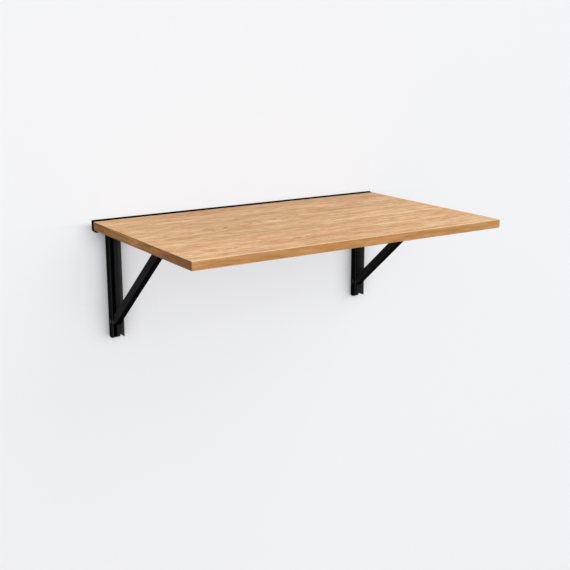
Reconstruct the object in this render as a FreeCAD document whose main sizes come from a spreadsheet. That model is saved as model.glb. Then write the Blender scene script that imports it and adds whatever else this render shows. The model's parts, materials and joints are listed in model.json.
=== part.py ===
"""Wall mounted drop leaf table.

A wooden leaf hangs on a continuous hinge along the lip of a steel rail.  Two
open-fronted wall channels carry the struts that hold the leaf level; each
strut turns on a pin near the foot of its channel and its head stands in a
keeper under the leaf.

Frame, in millimetres: X runs along the wall, +Y points into the wall, whose
face is Y = 0, and Z is up.  The origin is the middle of the rail's back.
Shown with the leaf level and the struts in place.
"""
import FreeCAD, Part
import os
import Sketcher
from FreeCAD import Placement, Rotation, Vector

PARTS_DIR = "parts"

# Driving dimensions: alias, value in mm (degrees for strut_lean), meaning.
DIMENSIONS = [
    ("leaf_width", 1000, "leaf, along the wall"),
    ("leaf_depth", 600, "leaf, away from the wall"),
    ("leaf_thickness", 24, "leaf"),
    ("leaf_edge_round", 1.2, "radius of every leaf edge"),
    ("leaf_corner_round", 3, "radius of the leaf's upright corners"),
    ("leaf_wall_gap", 12, "wall to the leaf's rear edge"),
    ("leaf_seat_gap", 0.3, "leaf above the fixed hinge plate"),
    ("rail_end_inset", 1, "rail end inside the leaf end"),
    ("rail_wall", 3, "steel thickness of the rail"),
    ("rail_lip", 11, "top lip of the rail, from the wall"),
    ("rail_flange", 30, "bottom flange of the rail, from the wall"),
    ("rail_rise", 1, "rail top above the leaf top"),
    ("rail_bend_round", 3, "outer bend radius of the rail"),
    ("rail_hole_height", 15, "wall holes above the rail's bottom"),
    ("rail_hole_count", 4, "wall holes of the rail"),
    ("rail_hole_pitch", 280, "spacing of the rail's wall holes"),
    ("rail_hole_diameter", 5.5, "wall holes of the rail"),
    ("knuckle_radius", 3.5, "hinge knuckle"),
    ("knuckle_clearance", 0.5, "knuckle to any edge beside it"),
    ("knuckle_pitch", 120, "one fixed and one moving knuckle"),
    ("knuckle_pairs", 8, "pairs of knuckles"),
    ("hinge_pin_radius", 1.75, "hinge pin"),
    ("running_fit", 0.05, "radial clearance of every turning fit"),
    ("hinge_plate_width", 22, "hinge plate, from the pin"),
    ("hinge_plate_thickness", 1.5, "fixed hinge plate"),
    ("hinge_screw_pitch", 130, "hinge screws and rivets"),
    ("hinge_screw_count", 7, "hinge screws and rivets per plate"),
    ("screw_shank_radius", 1.75, "wood screws and hinge rivets"),
    ("screw_head_radius", 3.4, "countersunk heads"),
    ("screw_length", 16, "wood screws, overall"),
    ("screw_point", 3, "length of the wood screws' points"),
    ("rivet_head_height", 1.4, "set head of the hinge rivets, under the rail"),
    ("channel_width", 38, "wall channel"),
    ("channel_depth", 25, "wall channel"),
    ("channel_wall", 2.5, "steel thickness of the channel"),
    ("channel_bend_round", 3, "outer bend radius of the channel"),
    ("channel_height", 320, "wall channel"),
    ("channel_inset", 38, "leaf end to the channel's outer side"),
    ("channel_hole_low", 110, "lower wall hole above the channel's foot"),
    ("channel_hole_pitch", 160, "spacing of the channel's wall holes"),
    ("channel_hole_diameter", 5.5, "wall holes of the channel"),
    ("foot_tab_width", 30, "tongue of the channel's web below its flanges"),
    ("foot_tab_drop", 6, "tongue of the channel's web below its flanges"),
    ("foot_tab_round", 3, "corner radius of the tongue"),
    ("pivot_height", 49, "strut pivot above the channel's foot"),
    ("pivot_reach", 16, "strut pivot from the wall"),
    ("pivot_radius", 4, "strut pivot pin"),
    ("pivot_head_radius", 6.5, "set heads of the pivot pin"),
    ("pivot_head_height", 1.2, "set heads of the pivot pin"),
    ("pivot_head_bevel", 1, "radial width of the bevel on the set heads"),
    ("spacer_radius", 7.5, "spacers beside the strut's foot"),
    ("spacer_gap", 0.2, "spacer to strut"),
    ("strut_width", 20, "strut tube, along the wall"),
    ("strut_depth", 25, "strut tube, across its length"),
    ("strut_wall", 1.5, "strut tube"),
    ("strut_edge_round", 1.8, "outer corner radius of the strut tube"),
    ("strut_lean", 49.5, "strut from upright, leaf level"),
    ("strut_hole_clearance", 0.3, "strut side holes round the pin"),
    ("plug_fit", 0.05, "plug inside the tube, each side"),
    ("foot_plug_length", 30, "foot plug above the pivot"),
    ("pad_thickness", 3, "head pad"),
    ("pad_stub_length", 22, "head pad's stub in the tube"),
    ("keeper_gap", 0.4, "head pad below the keeper"),
    ("keeper_thickness", 2.5, "keeper steel"),
    ("keeper_side_gap", 1, "keeper cheek to strut"),
    ("keeper_cheek_drop", 7.5, "keeper cheek below its plate"),
    ("keeper_lip_drop", 4, "keeper end lip below its plate"),
    ("keeper_lip_reach", 12, "head pad's corner to the end lip"),
    ("keeper_tail", 8, "keeper plate inward of the head pad"),
    ("keeper_ear", 15, "keeper plate outside each cheek"),
    ("keeper_screw_edge", 8, "keeper screw from the plate's edges"),
    ("buffer_radius", 6, "rubber buffer"),
    ("buffer_taper", 1.2, "radius lost toward the buffer's face"),
    ("buffer_gap", 0.6, "buffer to channel, leaf down"),
    ("buffer_reach", 150, "buffer outward of the hinge pin"),
]

# Places that follow from the dimensions: name, expression.
PLACES = [
    ("rail_bottom", "-rail_hole_height"),
    ("plate_under", "rail_bottom + rail_wall"),
    ("leaf_under", "plate_under + hinge_plate_thickness + leaf_seat_gap"),
    ("rail_top", "leaf_under + leaf_thickness + rail_rise"),
    ("pin_reach", "rail_flange + knuckle_clearance + knuckle_radius"),
    ("pin_height", "plate_under + hinge_plate_thickness - knuckle_radius"),
    ("knuckle_edge", "knuckle_radius + knuckle_clearance"),
    ("hinge_length", "knuckle_pitch * knuckle_pairs"),
    ("hinge_screw_reach", "(hinge_plate_width + knuckle_edge) / 2"),
    ("channel_middle", "leaf_width / 2 - channel_inset - channel_width / 2"),
    ("channel_foot", "rail_bottom - channel_height"),
    ("pivot_z", "channel_foot + pivot_height"),
    ("keeper_under", "leaf_under - keeper_thickness"),
    ("pad_top", "keeper_under - keeper_gap"),
    ("pad_rise", "pad_top - pivot_z"),
    ("strut_rise", "pad_rise - pad_thickness"),
    ("head_reach", "pivot_reach + pad_rise * tan(strut_lean)"),
    ("head_half", "strut_depth / 2 / cos(strut_lean)"),
    ("mitre_shift", "strut_depth / 2 * sin(strut_lean)"),
    ("keeper_inner", "head_reach - head_half - keeper_tail"),
    ("keeper_outer", "head_reach + head_half + keeper_lip_reach + keeper_thickness"),
    ("keeper_cheek", "strut_width / 2 + keeper_side_gap"),
    ("keeper_half_width", "keeper_cheek + keeper_thickness + keeper_ear"),
    ("channel_inner", "channel_width / 2 - channel_wall"),
    ("tube_bore", "strut_depth / 2 - strut_wall"),
    ("plug_half", "tube_bore - plug_fit"),
    ("plug_width", "strut_width - 2 * strut_wall - 2 * plug_fit"),
    ("buffer_height", "pin_reach + knuckle_radius + leaf_seat_gap - channel_depth - buffer_gap"),
]

doc = FreeCAD.newDocument("DropLeafTable")
sheet = doc.addObject("Spreadsheet::Sheet", "Dims")
places = doc.addObject("App::VarSet", "Places")


def fill_sheet():
    """Write the driving dimensions into the sheet, one aliased row each."""
    for row, (alias, value, meaning) in enumerate(DIMENSIONS, start=1):
        sheet.set("A%d" % row, meaning)
        sheet.set("B%d" % row, str(value))
        sheet.setAlias("B%d" % row, alias)
    doc.recompute()


def bound(text):
    """An expression with every dimension and place name made a reference."""
    owners = {alias: "Dims" for alias, _, _ in DIMENSIONS}
    owners.update({name: "Places" for name, _ in PLACES})
    words = text.replace("(", "( ").replace(")", " )").split(" ")
    linked = []
    for word in words:
        sign = "-" if word.startswith("-") and len(word) > 1 else ""
        name = word[len(sign):]
        owner = owners.get(name)
        linked.append(sign + "<<%s>>.%s" % (owner, name) if owner else word)
    return " ".join(linked)


def fill_places():
    """Work out the dependent places in a variable set."""
    for name, expression in PLACES:
        places.addProperty("App::PropertyFloat", name, "Places")
        places.setExpression(name, bound(expression))
        doc.recompute()


def size(name):
    """The present value of a dimension or place."""
    if any(name == place for place, _ in PLACES):
        return getattr(places, name)
    return float(sheet.get(name))


def plane(body, role):
    return next(f for f in body.Origin.OriginFeatures if f.Role == role)


def new_body(label):
    body = doc.addObject("PartDesign::Body", label)
    body.Label = label
    return body


def new_sketch(body, name, role):
    sketch = body.newObject("Sketcher::SketchObject", name)
    sketch.AttachmentSupport = [(plane(body, role), "")]
    sketch.MapMode = "FlatFace"
    return sketch


def pin_point(sketch, geometry, position, place):
    """Fix one sketch point at a place given by two expressions."""
    for kind, axis, expression in (("DistanceX", -2, place[0]), ("DistanceY", -1, place[1])):
        if expression == "0":
            rule = Sketcher.Constraint("PointOnObject", geometry, position, axis)
            sketch.addConstraint(rule)
            continue
        start = 1.0
        index = sketch.addConstraint(Sketcher.Constraint(kind, -1, 1, geometry, position, start))
        sketch.setExpression("Constraints[%d]" % index, bound(expression))


def add_outline(sketch, corners):
    """A closed outline of straight lines through corners given by expressions."""
    count = len(corners)
    first = sketch.GeometryCount
    for i in range(count):
        here = Vector(i, i * i, 0)
        there = Vector(i + 1, (i + 1) * (i + 1), 0)
        sketch.addGeometry(Part.LineSegment(here, there), False)
    for i in range(count):
        following = first + (i + 1) % count
        sketch.addConstraint(Sketcher.Constraint("Coincident", first + i, 2, following, 1))
    for i, corner in enumerate(corners):
        pin_point(sketch, first + i, 1, corner)


def add_circle(sketch, centre, radius):
    """A circle whose centre and radius are expressions."""
    index = sketch.addGeometry(Part.Circle(Vector(1, 1, 0), Vector(0, 0, 1), 2.0), False)
    pin_point(sketch, index, 3, centre)
    rule = sketch.addConstraint(Sketcher.Constraint("Radius", index, 2.0))
    sketch.setExpression("Constraints[%d]" % rule, bound(radius))


def rectangle(left, bottom, right, top):
    return [(left, bottom), (right, bottom), (right, top), (left, top)]


def pad(body, sketch, length, both_sides=False):
    feature = body.newObject("PartDesign::Pad", "Pad_" + sketch.Name)
    feature.Profile = sketch
    feature.setExpression("Length", bound(length))
    feature.Midplane = both_sides
    doc.recompute()
    return feature


def pocket(body, sketch, length, both_sides=True, reversed_side=False):
    """Cut a sketch out of the body, and make sure that it took material away."""
    feature = body.newObject("PartDesign::Pocket", "Cut_" + sketch.Name)
    feature.Profile = sketch
    feature.setExpression("Length", bound(length))
    feature.Midplane = both_sides
    feature.Reversed = reversed_side
    doc.recompute()
    if feature.Shape.Volume >= feature.BaseFeature.Shape.Volume:
        raise RuntimeError("%s cut nothing" % feature.Name)
    return feature


def round_edges(body, base, radius, wanted):
    """Round the edges of the body whose test function says yes."""
    names = ["Edge%d" % (i + 1) for i, edge in enumerate(base.Shape.Edges) if wanted(edge)]
    feature = body.newObject("PartDesign::Fillet", "Round_" + base.Name)
    feature.Base = (base, names)
    feature.setExpression("Radius", bound(radius))
    doc.recompute()
    return feature


def along(edge, axis):
    """Whether a straight edge runs along X, Y or Z."""
    if not isinstance(edge.Curve, Part.Line):
        return False
    return abs(abs(edge.Curve.Direction.dot(axis)) - 1) < 1e-6


def row(count, pitch):
    """Expressions for evenly spaced places about the middle."""
    return ["(%g) * %s" % (i - (count - 1) / 2, pitch) for i in range(count)]


def place(obj, x="0", y="0", z="0"):
    for axis, expression in zip("xyz", (x, y, z)):
        obj.setExpression("Placement.Base." + axis, bound(expression))


# ---------------------------------------------------------------- leaf

def leaf_panel():
    body = new_body("leaf_panel")
    outline = new_sketch(body, "leaf_outline", "XY_Plane")
    corners = rectangle("-leaf_width / 2", "-leaf_depth", "leaf_width / 2", "0")
    add_outline(outline, corners)
    slab = pad(body, outline, "leaf_thickness")
    upright = round_edges(body, slab, "leaf_corner_round", lambda e: along(e, Vector(0, 0, 1)))
    thickness = size("leaf_thickness")
    softened = round_edges(body, upright, "leaf_edge_round", lambda e: flat_edge(e, thickness))
    body.Tip = softened
    holes = new_sketch(body, "leaf_screw_holes", "XY_Plane")
    hole_radius = "screw_shank_radius + plug_fit"
    for x in row(int(size("hinge_screw_count")), "hinge_screw_pitch"):
        add_circle(holes, (x, "leaf_wall_gap - pin_reach - hinge_screw_reach"), hole_radius)
    for side in (-1, 1):
        for x, y in keeper_screw_places(side):
            add_circle(holes, (x, "leaf_wall_gap + %s" % y), hole_radius)
    pocket(body, holes, "screw_length", both_sides=False, reversed_side=True)
    place(body, y="-leaf_wall_gap", z="leaf_under")
    return body


def flat_edge(edge, thickness):
    """Whether an edge lies wholly in the top or the bottom face of the leaf."""
    box = edge.BoundBox
    level = box.ZLength < 1e-6
    return level and min(abs(box.ZMin), abs(box.ZMin - thickness)) < 1e-6


# ---------------------------------------------------------------- rail

def wall_rail():
    body = new_body("wall_rail")
    section = new_sketch(body, "rail_section", "YZ_Plane")
    add_outline(section, [
        ("0", "rail_bottom"),
        ("-rail_flange", "rail_bottom"),
        ("-rail_flange", "rail_bottom + rail_wall"),
        ("-rail_wall", "rail_bottom + rail_wall"),
        ("-rail_wall", "rail_top - rail_wall"),
        ("-rail_lip", "rail_top - rail_wall"),
        ("-rail_lip", "rail_top"),
        ("0", "rail_top"),
    ])
    strip = pad(body, section, "leaf_width - 2 * rail_end_inset", both_sides=True)
    bends = round_edges(body, strip, "rail_bend_round", is_rail_bend)
    body.Tip = bends
    holes = new_sketch(body, "rail_wall_holes", "XZ_Plane")
    for x in row(int(size("rail_hole_count")), "rail_hole_pitch"):
        add_circle(holes, (x, "0"), "rail_hole_diameter / 2")
    pocket(body, holes, "3 * rail_wall")
    rivets = new_sketch(body, "rail_rivet_holes", "XY_Plane")
    for x in row(int(size("hinge_screw_count")), "hinge_screw_pitch"):
        centre = (x, "hinge_screw_reach - pin_reach")
        add_circle(rivets, centre, "screw_shank_radius + plug_fit")
    pocket(body, rivets, "3 * rail_hole_height", both_sides=False)
    return body


def is_rail_bend(edge):
    """The two outer bends of the rail run along the wall."""
    return along(edge, Vector(1, 0, 0)) and abs(edge.BoundBox.YMin) < 1e-6


# ---------------------------------------------------------------- hinge

def hinge_plate(label, side, first_knuckle, thickness):
    """One half of the hinge; side is -1 outward under the leaf, +1 on the rail."""
    body = new_body(label)
    sign = "" if side > 0 else "-"
    strip = new_sketch(body, label + "_strip", "YZ_Plane")
    add_outline(strip, plate_section(side, "knuckle_edge", "hinge_plate_width", thickness))
    pad(body, strip, "hinge_length", both_sides=True)
    tab = new_sketch(body, label + "_tab", "YZ_Plane")
    add_outline(tab, plate_section(side, "0", "2 * knuckle_edge", thickness))
    curl = new_sketch(body, label + "_curl", "YZ_Plane")
    add_circle(curl, ("0", "0"), "knuckle_radius")
    for sketch in (tab, curl):
        start = "hinge_length / -2 + %g * knuckle_pitch / 2 + knuckle_clearance / 2" % first_knuckle
        sketch.setExpression("AttachmentOffset.Base.z", bound(start))
    curls = []
    for sketch in (tab, curl):
        curls.append(pad(body, sketch, "knuckle_pitch / 2 - knuckle_clearance"))
    pattern = body.newObject("PartDesign::LinearPattern", label + "_row")
    pattern.Originals = curls
    pattern.Direction = (plane(body, "X_Axis"), [""])
    pattern.setExpression("Length", bound("knuckle_pitch * ( knuckle_pairs - 1 )"))
    pattern.setExpression("Occurrences", bound("knuckle_pairs"))
    doc.recompute()
    body.Tip = pattern
    bore = new_sketch(body, label + "_bore", "YZ_Plane")
    add_circle(bore, ("0", "0"), "hinge_pin_radius + running_fit")
    pocket(body, bore, "2 * hinge_length")
    sinks = new_sketch(body, label + "_holes", "XY_Plane")
    for x in row(int(size("hinge_screw_count")), "hinge_screw_pitch"):
        centre = (x, sign + "hinge_screw_reach")
        add_circle(sinks, centre, "screw_head_radius + plug_fit")
    pocket(body, sinks, "4 * knuckle_radius")
    place(body, y="-pin_reach", z="pin_height")
    return body


def plate_section(side, near, far, thickness):
    """Section of a hinge plate from one reach to another, measured from the pin."""
    under = "knuckle_radius - hinge_plate_thickness"
    top = under + " + " + thickness
    if side > 0:
        return rectangle(near, under, far, top)
    return rectangle("-" + far, under, "-" + near, top)


def hinge_pin():
    pin = doc.addObject("Part::Cylinder", "hinge_pin")
    pin.Label = "hinge_pin"
    pin.setExpression("Radius", bound("hinge_pin_radius"))
    pin.setExpression("Height", bound("hinge_length"))
    pin.Placement = Placement(Vector(), Rotation(Vector(0, 1, 0), 90))
    place(pin, x="-hinge_length / 2", y="-pin_reach", z="pin_height")
    return pin


# ---------------------------------------------------------------- fasteners

def group(label, solids):
    """Several separate solids kept as one sub-part."""
    feature = doc.addObject("Part::Feature", label)
    feature.Label = label
    feature.Shape = Part.makeCompound(solids)
    return feature


def turned(points):
    """A solid turned about Z from (radius, height) points."""
    corners = [Vector(radius, 0, height) for radius, height in points]
    face = Part.Face(Part.makePolygon(corners + corners[:1]))
    return face.revolve(Vector(), Vector(0, 0, 1), 360)


def flat_head(head_height):
    """A flat-bottomed head that fills a hinge plate, with its shank going up."""
    head, shank = size("screw_head_radius"), size("screw_shank_radius")
    length = size("screw_length")
    return turned([
        (0, 0), (head, 0), (head, head_height), (shank, head_height),
        (shank, length - size("screw_point")), (0, length),
    ])


def hinge_leaf_screws():
    under = size("leaf_under") - leaf_plate_thickness()
    screw = flat_head(leaf_plate_thickness())
    y = -size("pin_reach") - size("hinge_screw_reach")
    return group("hinge_leaf_screws", repeat_in_row(screw, y, under))


def leaf_plate_thickness():
    return size("hinge_plate_thickness") + size("leaf_seat_gap")


def hinge_rail_rivets():
    """Solid rivets: the flat head fills the plate, the set head is under the rail."""
    head, shank = size("screw_head_radius"), size("screw_shank_radius")
    plate, wall = size("hinge_plate_thickness"), size("rail_wall")
    tail = size("rivet_head_height")
    rivet = turned([
        (0, plate), (head, plate), (head, 0), (shank, 0), (shank, -wall),
        (head, -wall), (shank, -wall - tail), (0, -wall - tail),
    ])
    y = size("hinge_screw_reach") - size("pin_reach")
    return group("hinge_rail_rivets", repeat_in_row(rivet, y, size("plate_under")))


def repeat_in_row(solid, y, z):
    count, pitch = int(size("hinge_screw_count")), size("hinge_screw_pitch")
    copies = []
    for i in range(count):
        x = (i - (count - 1) / 2) * pitch
        copies.append(solid.translated(Vector(x, y, z)))
    return copies


# ---------------------------------------------------------------- channels

def wall_channel(label, side):
    body = new_body(label)
    section = new_sketch(body, label + "_section", "XY_Plane")
    add_outline(section, [
        ("-channel_width / 2", "0"),
        ("-channel_width / 2", "-channel_depth"),
        ("-channel_inner", "-channel_depth"),
        ("-channel_inner", "-channel_wall"),
        ("channel_inner", "-channel_wall"),
        ("channel_inner", "-channel_depth"),
        ("channel_width / 2", "-channel_depth"),
        ("channel_width / 2", "0"),
    ])
    strip = pad(body, section, "channel_height")
    bends = round_edges(body, strip, "channel_bend_round", is_channel_bend)
    body.Tip = bends
    tab = new_sketch(body, label + "_foot_tab", "XZ_Plane")
    half, drop = "foot_tab_width / 2", size("foot_tab_drop")
    add_outline(tab, rectangle("-" + half, "-foot_tab_drop", half, "channel_bend_round"))
    tongue = pad(body, tab, "channel_wall")
    body.Tip = round_edges(body, tongue, "foot_tab_round", lambda e: is_tab_corner(e, drop))
    bore = new_sketch(body, label + "_pivot_bore", "YZ_Plane")
    add_circle(bore, ("-pivot_reach", "pivot_height"), "pivot_radius + plug_fit")
    pocket(body, bore, "2 * channel_width")
    holes = new_sketch(body, label + "_wall_holes", "XZ_Plane")
    for height in ("channel_hole_low", "channel_hole_low + channel_hole_pitch"):
        add_circle(holes, ("0", height), "channel_hole_diameter / 2")
    pocket(body, holes, "3 * channel_wall")
    place(body, x="%d * channel_middle" % side, z="channel_foot")
    return body


def is_channel_bend(edge):
    """The two outer bends of a channel stand against the wall."""
    return along(edge, Vector(0, 0, 1)) and abs(edge.BoundBox.YMin) < 1e-6


def is_tab_corner(edge, drop):
    """The two lower corners of the foot tongue run through the steel."""
    return along(edge, Vector(0, 1, 0)) and abs(edge.BoundBox.ZMax + drop) < 1e-6


def pivot_pin(label, side):
    """A pin with a low set head on each side of the channel."""
    radius, head = size("pivot_radius"), size("pivot_head_radius")
    half, rise = size("channel_width") / 2, size("pivot_head_height")
    face = head - size("pivot_head_bevel")
    pin = turned([
        (0, -half - rise), (face, -half - rise), (head, -half - rise / 2), (head, -half),
        (radius, -half), (radius, half), (head, half), (head, half + rise / 2),
        (face, half + rise), (0, half + rise),
    ])
    return at_pivot(group(label, [pin]), side)


def pivot_spacers(label, side):
    """A tube each side of the strut's foot keeps it in the middle of the channel."""
    start = size("strut_width") / 2 + size("spacer_gap")
    end = size("channel_inner")
    bore, rim = size("pivot_radius") + size("plug_fit"), size("spacer_radius")
    tube = turned([(bore, start), (rim, start), (rim, end), (bore, end)])
    other = tube.mirror(Vector(), Vector(0, 0, 1))
    return at_pivot(group(label, [tube, other]), side)


def at_pivot(feature, side):
    """Lay a part turned about Z along the pivot axis of one channel."""
    base = Vector(side * size("channel_middle"), -size("pivot_reach"), size("pivot_z"))
    feature.Placement = Placement(base, Rotation(Vector(0, 1, 0), 90))
    return feature


# ---------------------------------------------------------------- struts

def lean(body, side):
    """Stand a strut part, drawn upright about its pivot, at its resting lean."""
    body.Placement = Placement(Vector(), Rotation(Vector(1, 0, 0), 1))
    body.setExpression("Placement.Rotation.Angle", bound("strut_lean"))
    place(body, x="%d * channel_middle" % side, y="-pivot_reach", z="pivot_z")
    return body


def mitred(rise):
    """Lengths of the tube's two sides, from the pivot to a level cut at this rise."""
    cut = "( %s %s mitre_shift ) / cos(strut_lean)"
    return cut % (rise, "-"), cut % (rise, "+")


def strut(label, side):
    body = new_body(label)
    tube = new_sketch(body, label + "_side", "YZ_Plane")
    low, high = mitred("strut_rise")
    add_outline(tube, [
        ("-strut_depth / 2", "0"), ("strut_depth / 2", "0"),
        ("strut_depth / 2", low), ("-strut_depth / 2", high),
    ])
    pad(body, tube, "strut_width", both_sides=True)
    foot = new_sketch(body, label + "_foot", "YZ_Plane")
    add_circle(foot, ("0", "0"), "strut_depth / 2")
    solid = pad(body, foot, "strut_width", both_sides=True)
    half = size("strut_width") / 2
    rounded = round_edges(body, solid, "strut_edge_round", lambda e: on_tube_side(e, half))
    body.Tip = rounded
    bore = new_sketch(body, label + "_bore", "YZ_Plane")
    add_outline(bore, rectangle("-tube_bore", "-strut_depth", "tube_bore", "2 * strut_rise"))
    pocket(body, bore, "strut_width - 2 * strut_wall")
    hole = new_sketch(body, label + "_pin_hole", "YZ_Plane")
    add_circle(hole, ("0", "0"), "pivot_radius + strut_hole_clearance")
    pocket(body, hole, "2 * strut_width")
    return lean(body, side)


def on_tube_side(edge, half):
    """Whether an edge is a long corner of the tube or the round of its foot."""
    box = edge.BoundBox
    on_side = box.XLength < 1e-6 and abs(abs(box.XMin) - half) < 1e-6
    return on_side and (along(edge, Vector(0, 0, 1)) or isinstance(edge.Curve, Part.Circle))


def foot_plug(label, side):
    """The block in the strut's foot that turns on the pivot pin."""
    body = new_body(label)
    block = new_sketch(body, label + "_side", "YZ_Plane")
    add_outline(block, rectangle("-plug_half", "0", "plug_half", "foot_plug_length"))
    pad(body, block, "plug_width", both_sides=True)
    nose = new_sketch(body, label + "_nose", "YZ_Plane")
    add_circle(nose, ("0", "0"), "plug_half")
    pad(body, nose, "plug_width", both_sides=True)
    bore = new_sketch(body, label + "_bore", "YZ_Plane")
    add_circle(bore, ("0", "0"), "pivot_radius + running_fit")
    pocket(body, bore, "2 * strut_width")
    return lean(body, side)


def head_pad(label, side):
    """The cap on the mitred head of the strut, with a stub inside the tube."""
    body = new_body(label)
    cap = new_sketch(body, label + "_cap", "YZ_Plane")
    low, high = mitred("strut_rise")
    top_low, top_high = mitred("pad_rise")
    add_outline(cap, [
        ("strut_depth / 2", low), ("strut_depth / 2", top_low),
        ("-strut_depth / 2", top_high), ("-strut_depth / 2", high),
    ])
    pad(body, cap, "strut_width", both_sides=True)
    stub = new_sketch(body, label + "_stub", "YZ_Plane")
    middle, slope = "strut_rise / cos(strut_lean)", "plug_half * tan(strut_lean)"
    tail = middle + " - pad_stub_length"
    add_outline(stub, [
        ("-plug_half", tail), ("plug_half", tail),
        ("plug_half", "%s - %s" % (middle, slope)), ("-plug_half", "%s + %s" % (middle, slope)),
    ])
    pad(body, stub, "plug_width", both_sides=True)
    return lean(body, side)


# ---------------------------------------------------------------- keepers

def keeper_screw_places(side):
    """Four screw places in a keeper's ears, as X and Y expressions."""
    places_found = []
    for ear in ("-", "+"):
        x = "%d * channel_middle %s ( keeper_half_width - keeper_screw_edge )" % (side, ear)
        for y in ("-keeper_inner - keeper_screw_edge", "-keeper_outer + keeper_screw_edge"):
            places_found.append((x, y))
    return places_found


def strut_keeper(label, side):
    """Folded steel keeper: a plate with two cheeks and a low lip at its outer end."""
    body = new_body(label)
    base = new_sketch(body, label + "_plate", "YZ_Plane")
    plate = rectangle("-keeper_outer", "-keeper_thickness", "-keeper_inner", "0")
    add_outline(base, plate)
    pad(body, base, "2 * keeper_half_width", both_sides=True)
    near, far = "keeper_cheek", "( keeper_cheek + keeper_thickness )"
    for hand, left, right in (("left", "-" + far, "-" + near), ("right", near, far)):
        cheek = new_sketch(body, "%s_%s_cheek" % (label, hand), "XZ_Plane")
        add_outline(cheek, rectangle(left, "-keeper_thickness - keeper_cheek_drop", right, "0"))
        cheek.setExpression("AttachmentOffset.Base.z", bound("keeper_inner"))
        pad(body, cheek, "keeper_outer - keeper_inner")
    lip = new_sketch(body, label + "_lip", "YZ_Plane")
    edge = "keeper_thickness - keeper_outer"
    drop = "-keeper_thickness - keeper_lip_drop"
    add_outline(lip, rectangle("-keeper_outer", drop, edge, "-keeper_thickness / 2"))
    pad(body, lip, "2 * keeper_cheek + keeper_thickness", both_sides=True)
    holes = new_sketch(body, label + "_holes", "XY_Plane")
    for x in ("keeper_screw_edge - keeper_half_width", "keeper_half_width - keeper_screw_edge"):
        for y in ("-keeper_inner - keeper_screw_edge", "-keeper_outer + keeper_screw_edge"):
            add_circle(holes, (x, y), "screw_head_radius + plug_fit")
    pocket(body, holes, "3 * keeper_thickness")
    place(body, x="%d * channel_middle" % side, z="leaf_under")
    return body


def keeper_screws(label, side):
    screw = flat_head(size("keeper_thickness"))
    across = size("keeper_half_width") - size("keeper_screw_edge")
    middle = side * size("channel_middle")
    edge = size("keeper_screw_edge")
    solids = []
    for x in (middle - across, middle + across):
        for reach in (size("keeper_inner") + edge, size("keeper_outer") - edge):
            solids.append(screw.translated(Vector(x, -reach, size("keeper_under"))))
    return group(label, solids)


def leaf_buffer(label, side):
    """Rubber button that meets the inner side of the channel when the leaf is down."""
    radius, height = size("buffer_radius"), size("buffer_height")
    face = radius - size("buffer_taper")
    button = turned([(0, 0), (radius, 0), (face, -height), (0, -height)])
    feature = group(label, [button])
    inner_side = size("channel_width") / 2 - size("channel_wall") / 2
    x = side * (size("channel_middle") - inner_side)
    y = -size("pin_reach") - size("buffer_reach")
    feature.Placement = Placement(Vector(x, y, size("leaf_under")), Rotation())
    return feature


# ---------------------------------------------------------------- assembly

def build():
    fill_sheet()
    fill_places()
    made = [
        leaf_panel(),
        wall_rail(),
        hinge_plate("hinge_rail_plate", 1, 0, "hinge_plate_thickness"),
        hinge_plate("hinge_leaf_plate", -1, 1, "( hinge_plate_thickness + leaf_seat_gap )"),
        hinge_pin(),
        hinge_rail_rivets(),
        hinge_leaf_screws(),
    ]
    for name, side in (("left", -1), ("right", 1)):
        made += [
            wall_channel(name + "_wall_channel", side),
            pivot_pin(name + "_pivot_pin", side),
            pivot_spacers(name + "_pivot_spacers", side),
            strut(name + "_strut", side),
            foot_plug(name + "_strut_foot_plug", side),
            head_pad(name + "_strut_head_pad", side),
            strut_keeper(name + "_strut_keeper", side),
            keeper_screws(name + "_keeper_screws", side),
            leaf_buffer(name + "_leaf_buffer", side),
        ]
    doc.recompute()
    return made


def check(made):
    """Stop on any failed feature or bad shape."""
    for obj in doc.Objects:
        if "Invalid" in obj.State or "Error" in obj.State:
            raise RuntimeError("%s failed: %s" % (obj.Name, obj.State))
    for part in made:
        if part.Shape.isNull() or not part.Shape.isValid():
            raise RuntimeError("%s has a bad shape" % part.Label)


def export(made):
    os.makedirs(PARTS_DIR, exist_ok=True)
    for part in made:
        part.Shape.exportStep(os.path.join(PARTS_DIR, part.Label + ".step"))


sub_parts = build()
check(sub_parts)
export(sub_parts)
print("%d sub-parts" % len(sub_parts))
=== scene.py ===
"""Looks of the wall mounted drop leaf table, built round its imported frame.

The part is its 25 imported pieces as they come. Here they get their finishes, and
the stage gets its camera, lamps, wall and floor. Lengths are metres in the
frame's own axes: X along the wall, +Y into it, Z up.
"""
import json
import math
import bpy
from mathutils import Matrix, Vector


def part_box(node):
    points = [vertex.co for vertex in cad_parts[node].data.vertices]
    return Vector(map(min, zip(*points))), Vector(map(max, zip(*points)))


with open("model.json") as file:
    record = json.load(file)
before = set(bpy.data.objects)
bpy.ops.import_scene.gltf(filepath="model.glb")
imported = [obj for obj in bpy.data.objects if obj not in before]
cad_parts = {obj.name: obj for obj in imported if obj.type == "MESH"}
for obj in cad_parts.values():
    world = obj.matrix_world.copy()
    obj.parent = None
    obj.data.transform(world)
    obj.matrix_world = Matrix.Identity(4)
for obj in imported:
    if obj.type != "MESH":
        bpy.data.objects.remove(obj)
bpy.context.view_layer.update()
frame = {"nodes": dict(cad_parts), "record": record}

LEAF_LOW, LEAF_HIGH = (Vector(corner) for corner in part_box("leaf_panel"))
RAIL_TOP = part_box("wall_rail")[1][2]
CHANNEL_LOW, CHANNEL_HIGH = (Vector(corner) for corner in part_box("right_wall_channel"))

# Camera, fitted to the leaf's corners and the brackets' feet in the picture.
IMAGE_SIDE = 570
FOCAL_PIXELS = 985.4
SENSOR_MM = 36.0
CAMERA_PLACE = (-1.5396, -2.6250, 0.5313)
CAMERA_YAW = math.radians(32.877)
CAMERA_PITCH = math.radians(14.290)

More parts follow.
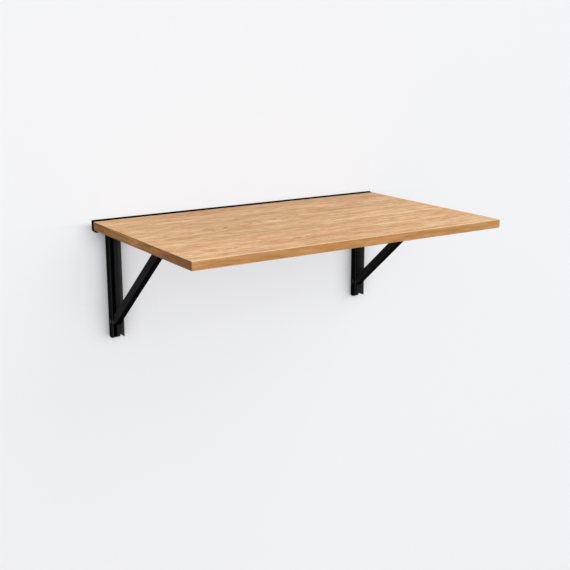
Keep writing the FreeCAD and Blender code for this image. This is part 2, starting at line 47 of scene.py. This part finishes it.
# Lamps: the way each light comes from, and its strength.
KEY_FROM, KEY_STRENGTH = (0.60, -0.20, 0.77), 2.4
FILL_FROM, FILL_STRENGTH = (-0.80, -0.55, 0.16), 0.6
LAMP_ANGLE = math.radians(60)
STUDIO_TINT = (0.995, 1.0, 1.02, 1)
SKY_STRENGTH = 0.58
SKY_SEEN = 0.90

# Wall and floor. Their glow is what the camera sees of them beyond lit paint.
WALL_BEHIND = 0.0006
FLOOR_LEVEL = -2.1
STAGE_HALF = 6.0
PAINT = (0.24, 0.242, 0.248, 1)
PAINT_DEEPER = 0.985
PAINT_CLOUD = (1.3, 2.0, 0.5)
PAINT_ROUGHNESS = 0.9
WALL_GLOW = 0.722
FLOOR_GLOW = 0.645

# Shade on the wall: reach and power of what the object hides. It is left off
# above the leaf, and fades out towards the floor.
CONTACT_SHADE = (0.07, 1.0)
BROAD_SHADE = (0.42, 0.32)
SHADE_SAMPLES = 8
UNSHADED_FROM, UNSHADED_TO = LEAF_LOW.z - 0.01, LEAF_HIGH.z
FLOOR_FADE = (-0.9, -1.3)

# Painted shade on the wall: dark discs for holes drilled behind the screw holes,
# given by their place on the right half, and a painted contact shadow above the rail.
HOLE_SHADE_SPOTS = ((0.420, 0.0), (0.140, 0.0), (0.443, -0.065), (0.443, -0.225))
HOLE_SHADE_RADIUS = 0.0052
CREASE_SHADOW_HEIGHT = 0.0026
WALL_PAINTED_SHADE = (0.004, 0.004, 0.004, 1)

# Every noise pattern along a grain is given by its scale along X, Y and Z, its
# shift, its detail and its roughness. One that is alike all ways is given by
# its scale, detail and roughness.
UNSHIFTED = (0.0, 0.0, 0.0)
USUAL_RANGE = (0.3, 0.7)

# Oak: colours.
GRAIN_PALE = (0.98, 0.66, 0.39, 1)
GRAIN_LIGHT = (0.95, 0.577, 0.302, 1)
GRAIN_MID = (0.79, 0.447, 0.213, 1)
GRAIN_DARK = (0.44, 0.210, 0.080, 1)
PORE = (0.26, 0.115, 0.04, 1)
END_LIGHT = (0.68, 0.31, 0.082, 1)
END_DARK = (0.25, 0.092, 0.019, 1)
# Tint of the long edges: their own deeper colour, with painted shade.
EDGE_TINT_AND_SHADE = (0.94, 0.82, 0.61, 1)
# Colour of the painted highlight on the upper front arris.
ARRIS_HIGHLIGHT = (1.0, 0.74, 0.46, 1)
STROKE_WARMTH = (1.058, 0.932, 0.855, 1)
GAP_COOLNESS = (0.949, 1.113, 1.190, 1)
PATCH_PALE = (1.03, 1.03, 1.02, 1)
PATCH_DEEP = (0.93, 0.92, 0.90, 1)
# Tints for painted light: where the board is left unlit, and where it is lit.
UNLIT_TINT = (0.955, 0.945, 0.935, 1)
LIT_TINT = (1.11, 1.12, 1.13, 1)

# Oak: growth rings about a pith that wanders along the board.
PITH_Y, PITH_Z = -0.335, -0.115
PITH_WANDER = 0.10
RING_WIDTH = 0.0085
RING_SWELL = 0.05
RING_WAVE = 0.014
RING_DRIFT = ((0.9, 2.0, 2.0), (3.1, 0.0, 0.0), 2.0, 0.45)
RING_WAVER = ((6.0, 22.0, 22.0), UNSHIFTED, 3.0, 0.6)
LATE_WOOD_GROWS = (0.35, 0.92)
LATE_WOOD_ENDS = (0.93, 1.0)
RING_DEPTH = 0.36

# Oak: grain. A range is where a noise starts to show, where it shows in full
# and, if that isn't all of its colour, how much.
STREAKS = ((1.7, 34.0, 34.0), (0.0, 4.0, 1.0), 4.0, 0.6)
STREAK_RANGE = (0.34, 0.66)
FIBRE = ((7.0, 420.0, 420.0), UNSHIFTED, 4.0, 0.6)
FIBRE_RANGE = (0.46, 0.74, 0.46)
STROKES = (
    # pattern, dark range, pale range
    (((3.2, 200.0, 200.0), (5.0, 9.0, 3.0), 3.0, 0.55), (0.50, 0.72, 0.48), (0.48, 0.28, 0.40)),
    (((8.0, 68.0, 68.0), (4.0, 1.0, 6.0), 3.0, 0.55), (0.48, 0.74, 0.50), (0.48, 0.30, 0.50)),
    (((28.0, 118.0, 118.0), (8.0, 3.0, 2.0), 3.0, 0.6), (0.50, 0.74, 0.60), (0.47, 0.26, 0.44)),
)
PORES = ((26.0, 900.0, 900.0), UNSHIFTED, 2.0, 0.6)
PORE_RANGE = (0.57, 0.66)
PORES_IN_EARLY, PORES_IN_LATE, PORES_FULL_AT = 0.3, 0.9, 0.6
PORE_DEPTH = 0.72
HUE_RANGE = (0.30, 0.72)

# Oak: rows of dark flecks. Each row is given by its bend (from one X to another
# and from one Y to another), half its width, and the X where it starts and ends.
FLECKS = ((34.0, 92.0, 92.0), (2.0, 7.0, 0.0), 3.0, 0.65)
FLECK_RANGE = (0.52, 0.68)
FLECK_ROWS = (
    ((-0.24, -0.12, -0.302, -0.262), 0.022, -0.46, 0.06),
    ((-0.30, 0.05, -0.522, -0.508), 0.018, -0.47, 0.40),
)
ROW_CORE, ROW_EDGE = 0.5, 1.5
ROW_STARTS_OVER, ROW_ENDS_OVER = 0.05, 0.1
FLECKS_ELSEWHERE = 0.22
FLECK_DEPTH = 0.95

# Oak: broad patches, and painted light that makes the board paler towards the
# front, most of all at its right, and towards the left.
PATCHES = ((1.6, 9.0, 9.0), (9.0, 2.0, 0.0), 2.0, 0.5)
LIT_RIGHT = (-0.3, 0.5)
LIT_TO_FRONT = (-0.05, -0.55)
LIT_CORNER = 0.85
LIT_FRONT = (-0.1, -0.6, 0.25)
LIT_LEFT = (-0.20, -0.46, 0.6)

# Oak: side faces.
FACING = (0.5, 0.9)
EDGE_SLANT = 2.2
EDGE_EVENED = 0.5
EDGE_CLOUD = ((9.0, 1.0, 95.0), UNSHIFTED, 3.0, 0.55)
EDGE_CLOUD_RANGE = (0.38, 0.72, 0.34)
EDGE_LINES = ((16.0, 1.0, 380.0), (3.0, 0.0, 5.0), 3.0, 0.6)
EDGE_LINES_RANGE = (0.48, 0.70, 0.34)
EDGE_DARKER_RIGHT = (0.05, 0.50, 0.13)
END_LAYERS = ((4.0, 9.0, 260.0), UNSHIFTED, 4.0, 0.6)
END_LAYERS_RANGE = (0.38, 0.62)
END_BROAD = ((4.0, 5.0, 20.0), (1.0, 6.0, 0.0), 2.0, 0.5)
END_BROAD_RANGE = (0.35, 0.65, 0.35)
END_DARKER_FRONT = (-0.40, -0.60, 0.82)
# Painted highlight on the upper front arris: how far down and back it reaches, and how strong it is.
ARRIS_DOWN = (0.0006, 0.0016)
ARRIS_BACK = (0.001, 0.006)
ARRIS_HIGHLIGHT_SHARE = 0.65

# Oak: gloss and relief.
OAK_GLOSS = 0.16
OAK_ROUGHNESS = (0.3, 0.8, 0.46, 0.62)
FIBRE_RELIEF, PORE_RELIEF = 0.5, 0.8
OAK_BUMP = (0.28, 0.0004)

# Powder coat.
PEEL, PEEL_FINE = (1500.0, 2.0, 0.5), (2200.0, 2.0, 0.5)
PEEL_BUMP, PEEL_DEPTH, PEEL_DEPTH_FINE = 0.35, 0.00004, 0.00002
COAT_GLOSS = 0.012
COAT_CLOUD = (14.0, 3.0, 0.5)
COAT_VARIES = (0.25, 0.75)
SMOOTHER, ROUGHER = 0.05, 0.07
# Painted light: faces that look along the wall are paler, by how squarely they face, and clouds dim it
# down to the least share.
SIDE_LIGHT_FACING = (0.4, 0.9)
SIDE_LIGHT_LEAST = 0.75
SCUFFS = ((30.0, 220.0, 60.0), UNSHIFTED, 4.0, 0.65)
SCUFF_RANGE = (0.66, 0.80)
SCUFF_TONE = (0.05, 0.05, 0.05, 1)
SCUFF_DEPTH, SCUFF_POLISH = 0.15, 0.08

# Inside of the wall channels, told from outside by the distance from a
# channel's middle: painted light on the flanges' inner faces, and on the web
# towards them.
CHANNEL_MIDDLE = (CHANNEL_LOW.x + CHANNEL_HIGH.x) / 2
FLANGE_HALF = 0.0012
INSIDE_HALF = (CHANNEL_HIGH.x - CHANNEL_LOW.x) / 2 - FLANGE_HALF
INSIDE_BLUR = 0.0004
INSIDE_PAINTED_LIGHT = (0.11, 0.11, 0.112, 1)
CORNER_PAINTED_LIGHT = (0.003, 0.009, 0.55)

# Black zinc on fasteners.
TURNING = ((900.0, 900.0, 120.0), UNSHIFTED, 2.0, 0.5)
ZINC_DARK = (0.006, 0.006, 0.007, 1)
ZINC_LIGHT = (0.022, 0.022, 0.024, 1)
ZINC_METALLIC, ZINC_GLOSS = 0.5, 0.15
ZINC_ROUGHNESS = (0.42, 0.6)
ZINC_BUMP = (0.2, 0.00002)

# Moulded nylon and rubber.
ERODED = (2600.0, 2.0, 0.6)
ERODED_BUMP = (0.4, 0.00003)
BLOOM = (60.0, 2.0, 0.5)
BLOOM_TONE = (0.35, 0.75, 0.5)
BLOOM_GAIN, BLOOM_LIFT = 1.8, 0.01
BLOOM_ROUGHER = 0.1


# ---------------------------------------------------------------- node helpers

# A Mix node's sockets for colours.
MIX_FIRST, MIX_SECOND, MIX_RESULT = 6, 7, 2


class Graph:
    """Short ways to add shader nodes to one material or world."""

    def __init__(self, owner, shader="Principled BSDF"):
        owner.use_nodes = True
        self.owner = owner
        self.tree = owner.node_tree
        self.shader = self.tree.nodes[shader]

    def node(self, kind, **settings):
        made = self.tree.nodes.new(kind)
        for name, value in settings.items():
            setattr(made, name, value)
        return made

    def feed(self, socket, value):
        """Link another node's socket to this one, or set its own value."""
        if isinstance(value, bpy.types.NodeSocket):
            self.tree.links.new(value, socket)
        else:
            socket.default_value = value

    def math(self, operation, first, second=0.0, clamp=False):
        made = self.node("ShaderNodeMath", operation=operation, use_clamp=clamp)
        self.feed(made.inputs[0], first)
        self.feed(made.inputs[1], second)
        return made.outputs[0]

    def plus(self, first, second, clamp=False):
        return self.math("ADD", first, second, clamp)

    def minus(self, first, second):
        return self.math("SUBTRACT", first, second)

    def times(self, first, second):
        return self.math("MULTIPLY", first, second)

    def size(self, value):
        return self.math("ABSOLUTE", value)

    def distance(self, first, second):
        """Length of the line across two right-angled distances."""
        return self.math("SQRT", self.plus(self.times(first, first), self.times(second, second)))

    def noise(self, vector, scale, detail, roughness):
        """Noise that is alike all ways."""
        made = self.node("ShaderNodeTexNoise")
        self.feed(made.inputs["Vector"], vector)
        made.inputs["Scale"].default_value = scale
        made.inputs["Detail"].default_value = detail
        made.inputs["Roughness"].default_value = roughness
        return made.outputs["Fac"]

    def grain(self, vector, pattern):
        """Noise with its own scale along each axis."""
        scale, shift, detail, roughness = pattern
        made = self.node("ShaderNodeMapping")
        self.feed(made.inputs["Vector"], vector)
        made.inputs["Location"].default_value = shift
        made.inputs["Scale"].default_value = scale
        return self.noise(made.outputs[0], 1.0, detail, roughness)

    def remap(self, value, low, high, to_low=0.0, to_high=1.0, smooth=True):
        made = self.node("ShaderNodeMapRange")
        made.interpolation_type = "SMOOTHSTEP" if smooth else "LINEAR"
        made.clamp = True
        for name, number in (("Value", value), ("From Min", low), ("From Max", high),
                             ("To Min", to_low), ("To Max", to_high)):
            self.feed(made.inputs[name], number)
        return made.outputs[0]

    def rise(self, value, start, full, share=1.0):
        """Nothing up to start, and share from full on."""
        return self.remap(value, start, full, 0.0, share)

    def fall(self, value, start, gone):
        """1 up to start, and nothing from gone on."""
        return self.remap(value, start, gone, 1.0, 0.0)

    def blend(self, amount, first, second, mode="MIX"):
        made = self.node("ShaderNodeMix", data_type="RGBA", blend_type=mode)
        self.feed(made.inputs["Factor"], amount)
        self.feed(made.inputs[MIX_FIRST], first)
        self.feed(made.inputs[MIX_SECOND], second)
        return made.outputs[MIX_RESULT]

    def tint(self, tone, colour):
        return self.blend(1.0, tone, colour, "MULTIPLY")

    def bump(self, height, strength, distance):
        made = self.node("ShaderNodeBump")
        made.inputs["Strength"].default_value = strength
        made.inputs["Distance"].default_value = distance
        self.feed(made.inputs["Height"], height)
        self.feed(self.shader.inputs["Normal"], made.outputs[0])

    def place(self):
        return self.node("ShaderNodeTexCoord").outputs["Object"]

    def normal(self):
        return self.axes(self.node("ShaderNodeTexCoord").outputs["Normal"])

    def axes(self, vector):
        made = self.node("ShaderNodeSeparateXYZ")
        self.feed(made.inputs[0], vector)
        return made.outputs

    def seen(self):
        """1 for a ray that shows a surface as background: direct, mirrored or through glass."""
        path = self.node("ShaderNodeLightPath").outputs
        either = self.math("MAXIMUM", path["Is Camera Ray"], path["Is Glossy Ray"])
        return self.math("MAXIMUM", either, path["Is Transmission Ray"])


def material_graph(name):
    return Graph(bpy.data.materials.new(name))


# ---------------------------------------------------------------- oak

def oak():
    """Plain-sawn oak with its fibre along X: rings, streaks, strokes, flecks and pores; painted light
    towards the front, long edges deeper partly by painted shade, and a painted highlight on the front
    arris.
    """
    g = material_graph("oak")
    place = g.place()
    x, y, z = g.axes(place)
    late_wood = growth_rings(g, place, y, z)
    fibre = g.grain(place, FIBRE)
    tone = g.blend(g.rise(g.grain(place, STREAKS), *STREAK_RANGE), GRAIN_LIGHT, GRAIN_MID)
    tone = g.blend(g.times(late_wood, RING_DEPTH), tone, GRAIN_DARK)
    tone = g.blend(g.rise(fibre, *FIBRE_RANGE), tone, GRAIN_DARK)
    for pattern, dark_range, pale_range in STROKES:
        stroke = g.grain(place, pattern)
        tone = g.blend(g.rise(stroke, *dark_range), tone, GRAIN_DARK)
        tone = g.blend(g.rise(stroke, *pale_range), tone, GRAIN_PALE)
    tone = g.blend(g.times(flecks(g, place, x, y), FLECK_DEPTH), tone, GRAIN_DARK)
    by_ring = g.remap(late_wood, 0.0, PORES_FULL_AT, PORES_IN_EARLY, PORES_IN_LATE)
    pores = g.times(g.rise(g.grain(place, PORES), *PORE_RANGE), by_ring)
    tone = g.blend(g.times(pores, PORE_DEPTH), tone, PORE)
    tone = even_hue(g, tone)
    # Painted light: paler towards the front and right, and towards the left.
    tone = patches_and_painted_light(g, place, x, y, tone)
    tone = side_faces(g, place, tone)
    # Painted highlight along the upper front edge.
    tone = g.blend(g.times(arris_highlight(g, y, z), ARRIS_HIGHLIGHT_SHARE), tone, ARRIS_HIGHLIGHT)
    g.feed(g.shader.inputs["Base Color"], tone)
    g.shader.inputs["Specular IOR Level"].default_value = OAK_GLOSS
    g.feed(g.shader.inputs["Roughness"], g.remap(fibre, *OAK_ROUGHNESS))
    g.bump(g.minus(g.times(fibre, FIBRE_RELIEF), g.times(pores, PORE_RELIEF)), *OAK_BUMP)
    return g.owner


def growth_rings(g, place, y, z):
    """Share of late wood: dark bands about a wandering pith below the leaf, each ending sharply."""
    drift = g.grain(place, RING_DRIFT)
    waver = g.grain(place, RING_WAVER)
    across = g.plus(g.minus(y, PITH_Y + PITH_WANDER / 2), g.times(drift, PITH_WANDER))
    radius = g.distance(across, g.minus(z, PITH_Z))
    radius = g.plus(radius, g.times(waver, RING_WAVE))
    radius = g.plus(radius, g.times(drift, RING_SWELL))
    phase = g.math("FRACT", g.math("DIVIDE", radius, RING_WIDTH))
    return g.times(g.rise(phase, *LATE_WOOD_GROWS), g.fall(phase, *LATE_WOOD_ENDS))


def flecks(g, place, x, y):
    """Dark dashes along the grain: a row left of the middle, one near the front, and few elsewhere."""
    common = FLECKS_ELSEWHERE
    for bend, half, start, end in FLECK_ROWS:
        off = g.size(g.minus(y, g.remap(x, *bend)))
        beside = g.fall(off, half * ROW_CORE, half * ROW_EDGE)
        within = g.times(g.rise(x, start, start + ROW_STARTS_OVER), g.fall(x, end, end + ROW_ENDS_OVER))
        common = g.math("MAXIMUM", common, g.times(beside, within))
    return g.times(g.rise(g.grain(place, FLECKS), *FLECK_RANGE), common)


def even_hue(g, tone):
    """Warm the dark strokes and cool the pale ones, so that they differ in tone and not in hue."""
    depth = g.node("ShaderNodeRGBToBW")
    g.feed(depth.inputs[0], tone)
    shift = g.blend(g.remap(depth.outputs[0], *HUE_RANGE, smooth=False), STROKE_WARMTH, GAP_COOLNESS)
    return g.tint(tone, shift)


def patches_and_painted_light(g, place, x, y, tone):
    """Broad patches of the board, and painted light making it paler in places."""
    patches = g.rise(g.grain(place, PATCHES), *USUAL_RANGE)
    tone = g.tint(tone, g.blend(patches, PATCH_PALE, PATCH_DEEP))
    corner = g.times(g.rise(x, *LIT_RIGHT), g.rise(y, *LIT_TO_FRONT))
    lit_amount = g.plus(g.times(corner, LIT_CORNER), g.rise(y, *LIT_FRONT))
    lit_amount = g.plus(lit_amount, g.rise(x, *LIT_LEFT), clamp=True)
    return g.tint(tone, g.blend(lit_amount, UNLIT_TINT, LIT_TINT))


def side_faces(g, place, tone):
    """Deeper colour, partly the edge grain's own and partly painted shade, and fine lines on the leaf's
    long edges, and end grain in layers on its two ends.
    """
    x, y, z = g.axes(place)
    normal = g.normal()
    on_edge = g.rise(g.size(normal[1]), *FACING)
    on_end = g.rise(g.size(normal[0]), *FACING)
    slanted = g.node("ShaderNodeCombineXYZ")
    g.feed(slanted.inputs[0], g.plus(x, g.times(z, EDGE_SLANT)))
    g.feed(slanted.inputs[2], z)
    # Long edges evened towards mid oak and tinted deeper, partly as painted shade.
    edge = g.tint(g.blend(EDGE_EVENED, tone, GRAIN_MID), EDGE_TINT_AND_SHADE)
    for value, dark_range in ((g.grain(slanted.outputs[0], EDGE_CLOUD), EDGE_CLOUD_RANGE),
                              (g.grain(slanted.outputs[0], EDGE_LINES), EDGE_LINES_RANGE),
                              (x, EDGE_DARKER_RIGHT)):
        edge = g.blend(g.rise(value, *dark_range), edge, GRAIN_DARK)
    end = g.blend(g.rise(g.grain(place, END_LAYERS), *END_LAYERS_RANGE), END_LIGHT, END_DARK)
    end = g.blend(g.rise(g.grain(place, END_BROAD), *END_BROAD_RANGE), end, END_DARK)
    end = g.blend(g.rise(y, *END_DARKER_FRONT), end, END_DARK)
    return g.blend(on_end, g.blend(on_edge, tone, edge), end)


def arris_highlight(g, y, z):
    """A painted highlight: a thin pale line along the leaf's upper front edge."""
    near_top = g.fall(g.minus(LEAF_HIGH.z, z), *ARRIS_DOWN)
    near_front = g.fall(g.minus(y, LEAF_LOW.y), *ARRIS_BACK)
    return g.times(near_top, near_front)


# ---------------------------------------------------------------- metals, plastics

def grey(level, blue=None):
    """A grey, a little blue where blue is given."""
    return (level, level, level if blue is None else blue, 1)


def powder_coat(name, side_lit_tone, shaded_tone, roughness, gloss=COAT_GLOSS, inside_light=None,
                peel=PEEL, peel_depth=PEEL_DEPTH):
    """Black powder coat: fine orange peel and scuffs, with painted light on faces that look along the wall
    and painted shade on the rest.
    """
    g = material_graph(name)
    place = g.place()
    cloud = g.noise(place, *COAT_CLOUD)
    rubbed = g.rise(g.grain(place, SCUFFS), *SCUFF_RANGE)
    # Painted light on faces that look along the wall, painted shade on the others.
    side_light = g.times(g.rise(g.size(g.normal()[0]), *SIDE_LIGHT_FACING), g.remap(cloud, *USUAL_RANGE, SIDE_LIGHT_LEAST))
    tone = g.blend(side_light, shaded_tone, side_lit_tone)
    # Painted light inside the channels: the flanges' inner faces and the web near them are paler.
    if inside_light:
        across = g.size(g.minus(g.size(g.axes(place)[0]), CHANNEL_MIDDLE))
        inner = g.fall(across, INSIDE_HALF, INSIDE_HALF + INSIDE_BLUR)
        inner = g.times(inner, g.math("MAXIMUM", side_light, g.rise(across, *CORNER_PAINTED_LIGHT)))
        tone = g.blend(inner, tone, inside_light)
    tone = g.blend(g.times(rubbed, SCUFF_DEPTH), tone, SCUFF_TONE)
    g.feed(g.shader.inputs["Base Color"], tone)
    g.shader.inputs["Specular IOR Level"].default_value = gloss
    varied = g.remap(cloud, *COAT_VARIES, roughness - SMOOTHER, roughness + ROUGHER)
    g.feed(g.shader.inputs["Roughness"], g.minus(varied, g.times(rubbed, SCUFF_POLISH)))
    g.bump(g.noise(place, *peel), PEEL_BUMP, peel_depth)
    return g.owner


def zinc(name):
    """Black zinc plate on fasteners: dark metal with turning marks."""
    g = material_graph(name)
    marks = g.grain(g.place(), TURNING)
    tone = g.blend(g.rise(marks, *USUAL_RANGE), ZINC_DARK, ZINC_LIGHT)
    g.feed(g.shader.inputs["Base Color"], tone)
    g.shader.inputs["Metallic"].default_value = ZINC_METALLIC
    g.shader.inputs["Specular IOR Level"].default_value = ZINC_GLOSS
    g.feed(g.shader.inputs["Roughness"], g.remap(marks, *USUAL_RANGE, *ZINC_ROUGHNESS))
    g.bump(marks, *ZINC_BUMP)
    return g.owner


def moulded(name, colour, roughness):
    """Matt moulded nylon or rubber with a fine eroded texture and a faint bloom."""
    g = material_graph(name)
    place = g.place()
    bloom = g.noise(place, *BLOOM)
    paler = tuple(channel * BLOOM_GAIN + BLOOM_LIFT for channel in colour[:3]) + (1,)
    g.feed(g.shader.inputs["Base Color"], g.blend(g.rise(bloom, *BLOOM_TONE), colour, paler))
    varied = g.remap(bloom, *USUAL_RANGE, roughness, roughness + BLOOM_ROUGHER)
    g.feed(g.shader.inputs["Roughness"], varied)
    g.bump(g.noise(place, *ERODED), *ERODED_BUMP)
    return g.owner


def dress_nodes():
    """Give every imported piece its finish, by its own name or else by its material slot."""
    finishes = {
        "oak": oak(),
        # Each coat's first tone is painted light for faces looking along the wall, and its second is
        # painted shade for the rest.
        "black_steel": powder_coat("black_powder_coat", side_lit_tone=grey(0.028, 0.0285), shaded_tone=grey(0.0045),
                                   roughness=0.6),
        "hinge_steel": powder_coat("hinge_black", side_lit_tone=grey(0.018, 0.019), shaded_tone=grey(0.006),
                                   roughness=0.38, gloss=0.06, peel=PEEL_FINE, peel_depth=PEEL_DEPTH_FINE),
        "black_zinc": zinc("black_zinc_plate"),
        "nylon": moulded("black_nylon", colour=grey(0.016, 0.017), roughness=0.55),
        "rubber": moulded("black_rubber", colour=grey(0.02), roughness=0.72),
    }
    # Channels, rail and struts are one black coat in darker and lighter copies, as painted shade and
    # light: channels and rail darker, strut sides paler and undersides near-black.
    channel = powder_coat("channel_powder_coat", side_lit_tone=grey(0.0045, 0.0046), shaded_tone=grey(0.002),
                          roughness=0.65, inside_light=INSIDE_PAINTED_LIGHT)
    rail = powder_coat("rail_powder_coat", side_lit_tone=grey(0.010, 0.0105), shaded_tone=grey(0.004),
                       roughness=0.6, gloss=0.0)
    strut = powder_coat("strut_powder_coat", side_lit_tone=grey(0.031, 0.0315), shaded_tone=grey(0.0016),
                        roughness=0.6, gloss=0.004)
    own = {"left_wall_channel": channel, "right_wall_channel": channel, "wall_rail": rail,
           "left_strut": strut, "right_strut": strut}
    for entry in frame["record"]["subparts"]:
        mesh = frame["nodes"][entry["node"]].data
        mesh.materials.clear()
        mesh.materials.append(own.get(entry["node"]) or finishes[entry["material_slot"]])


# ---------------------------------------------------------------- stage

def plane(name, corners, paint):
    mesh = bpy.data.meshes.new(name)
    mesh.from_pydata(corners, [], [range(len(corners))])
    mesh.materials.append(paint)
    made = bpy.data.objects.new(name, mesh)
    bpy.context.scene.collection.objects.link(made)


def hole_shade(g, x, z):
    """1 in the painted shade of holes drilled behind the part's screw holes."""
    nearest = 1.0
    for hole_x, hole_z in HOLE_SHADE_SPOTS:
        from_hole = g.distance(g.minus(g.size(x), hole_x), g.minus(z, hole_z))
        nearest = g.math("MINIMUM", from_hole, nearest)
    return g.math("LESS_THAN", nearest, HOLE_SHADE_RADIUS)


def crease_shadow(g, x, z):
    """1 in the painted contact shadow, a thin dark line between the rail and the wall above it."""
    along = g.math("LESS_THAN", g.size(x), LEAF_HIGH.x)
    below = g.fall(z, RAIL_TOP + CREASE_SHADOW_HEIGHT / 2, RAIL_TOP + CREASE_SHADOW_HEIGHT)
    return g.times(g.times(along, below), g.math("GREATER_THAN", z, LEAF_LOW.z))


def light_left(g, reach, power):
    """Light left on the paint near what stands out from it."""
    made = g.node("ShaderNodeAmbientOcclusion", samples=SHADE_SAMPLES)
    made.inputs["Distance"].default_value = reach
    return g.math("POWER", made.outputs["AO"], power)


def pale_paint(name, glow, is_wall=False):
    """Pale matt paint, bright in view by its glow. The wall has the object's shade on it."""
    g = material_graph(name)
    place = g.place()
    deeper = tuple(channel * PAINT_DEEPER for channel in PAINT[:3]) + (1,)
    tone = g.blend(g.rise(g.noise(place, *PAINT_CLOUD), *USUAL_RANGE), PAINT, deeper)
    g.shader.inputs["Roughness"].default_value = PAINT_ROUGHNESS
    g.shader.inputs["Specular IOR Level"].default_value = 0.0
    g.shader.inputs["Emission Color"].default_value = STUDIO_TINT
    seen = g.seen()
    if is_wall:
        x, _, z = g.axes(place)
        shade = g.times(light_left(g, *CONTACT_SHADE), light_left(g, *BROAD_SHADE))
        unshaded = g.math("MAXIMUM", g.rise(z, UNSHADED_FROM, UNSHADED_TO), g.rise(z, *FLOOR_FADE))
        seen = g.times(seen, g.math("MAXIMUM", shade, unshaded))
        # Painted shade: dark paint with no glow in the drilled holes and in the crease above the rail.
        painted_shade = g.math("MAXIMUM", hole_shade(g, x, z), crease_shadow(g, x, z))
        seen = g.times(seen, g.minus(1.0, painted_shade))
        tone = g.blend(painted_shade, tone, WALL_PAINTED_SHADE)
        clear_from_behind(g)
    g.feed(g.shader.inputs["Base Color"], tone)
    g.feed(g.shader.inputs["Emission Strength"], g.times(seen, glow))
    return g.owner


def clear_from_behind(g):
    """Let a view from behind the wall through, so that it shows the object's back."""
    clear = g.node("ShaderNodeBsdfTransparent")
    chosen = g.node("ShaderNodeMixShader")
    g.feed(chosen.inputs[0], g.node("ShaderNodeNewGeometry").outputs["Backfacing"])
    g.feed(chosen.inputs[1], g.shader.outputs[0])
    g.feed(chosen.inputs[2], clear.outputs[0])
    g.feed(g.tree.nodes["Material Output"].inputs["Surface"], chosen.outputs[0])


def build_stage():
    s, y, z = STAGE_HALF, WALL_BEHIND, FLOOR_LEVEL
    plane("wall", [(-s, y, z), (s, y, z), (s, y, s), (-s, y, s)],
          pale_paint("wall_paint", WALL_GLOW, is_wall=True))
    plane("floor", [(-s, -s, z), (s, -s, z), (s, s, z), (-s, s, z)],
          pale_paint("floor_paint", FLOOR_GLOW))


def soft_lamp(name, light_from, strength):
    data = bpy.data.lights.new(name, "SUN")
    data.energy = strength
    data.angle = LAMP_ANGLE
    lamp = bpy.data.objects.new(name, data)
    lamp.rotation_euler = Vector(light_from).to_track_quat("Z", "Y").to_euler()
    bpy.context.scene.collection.objects.link(lamp)


def build_light():
    """Two wide lamps, and a world that is brighter to look at than it lights."""
    soft_lamp("key", KEY_FROM, KEY_STRENGTH)
    soft_lamp("fill", FILL_FROM, FILL_STRENGTH)
    world = bpy.data.worlds.new("studio")
    g = Graph(world, "Background")
    g.shader.inputs["Color"].default_value = STUDIO_TINT
    strength = g.remap(g.seen(), 0.0, 1.0, SKY_STRENGTH, SKY_SEEN, smooth=False)
    g.feed(g.shader.inputs["Strength"], strength)
    bpy.context.scene.world = world


def build_camera():
    data = bpy.data.cameras.new("camera")
    data.sensor_width = SENSOR_MM
    data.lens = FOCAL_PIXELS * SENSOR_MM / IMAGE_SIDE
    camera = bpy.data.objects.new("camera", data)
    camera.location = CAMERA_PLACE
    camera.rotation_euler = (math.pi / 2 - CAMERA_PITCH, 0.0, -CAMERA_YAW)
    bpy.context.scene.collection.objects.link(camera)
    bpy.context.scene.camera = camera


# ---------------------------------------------------------------- assembly


build_camera()
dress_nodes()
build_stage()
build_light()
bpy.context.scene.view_settings.view_transform = "Standard"
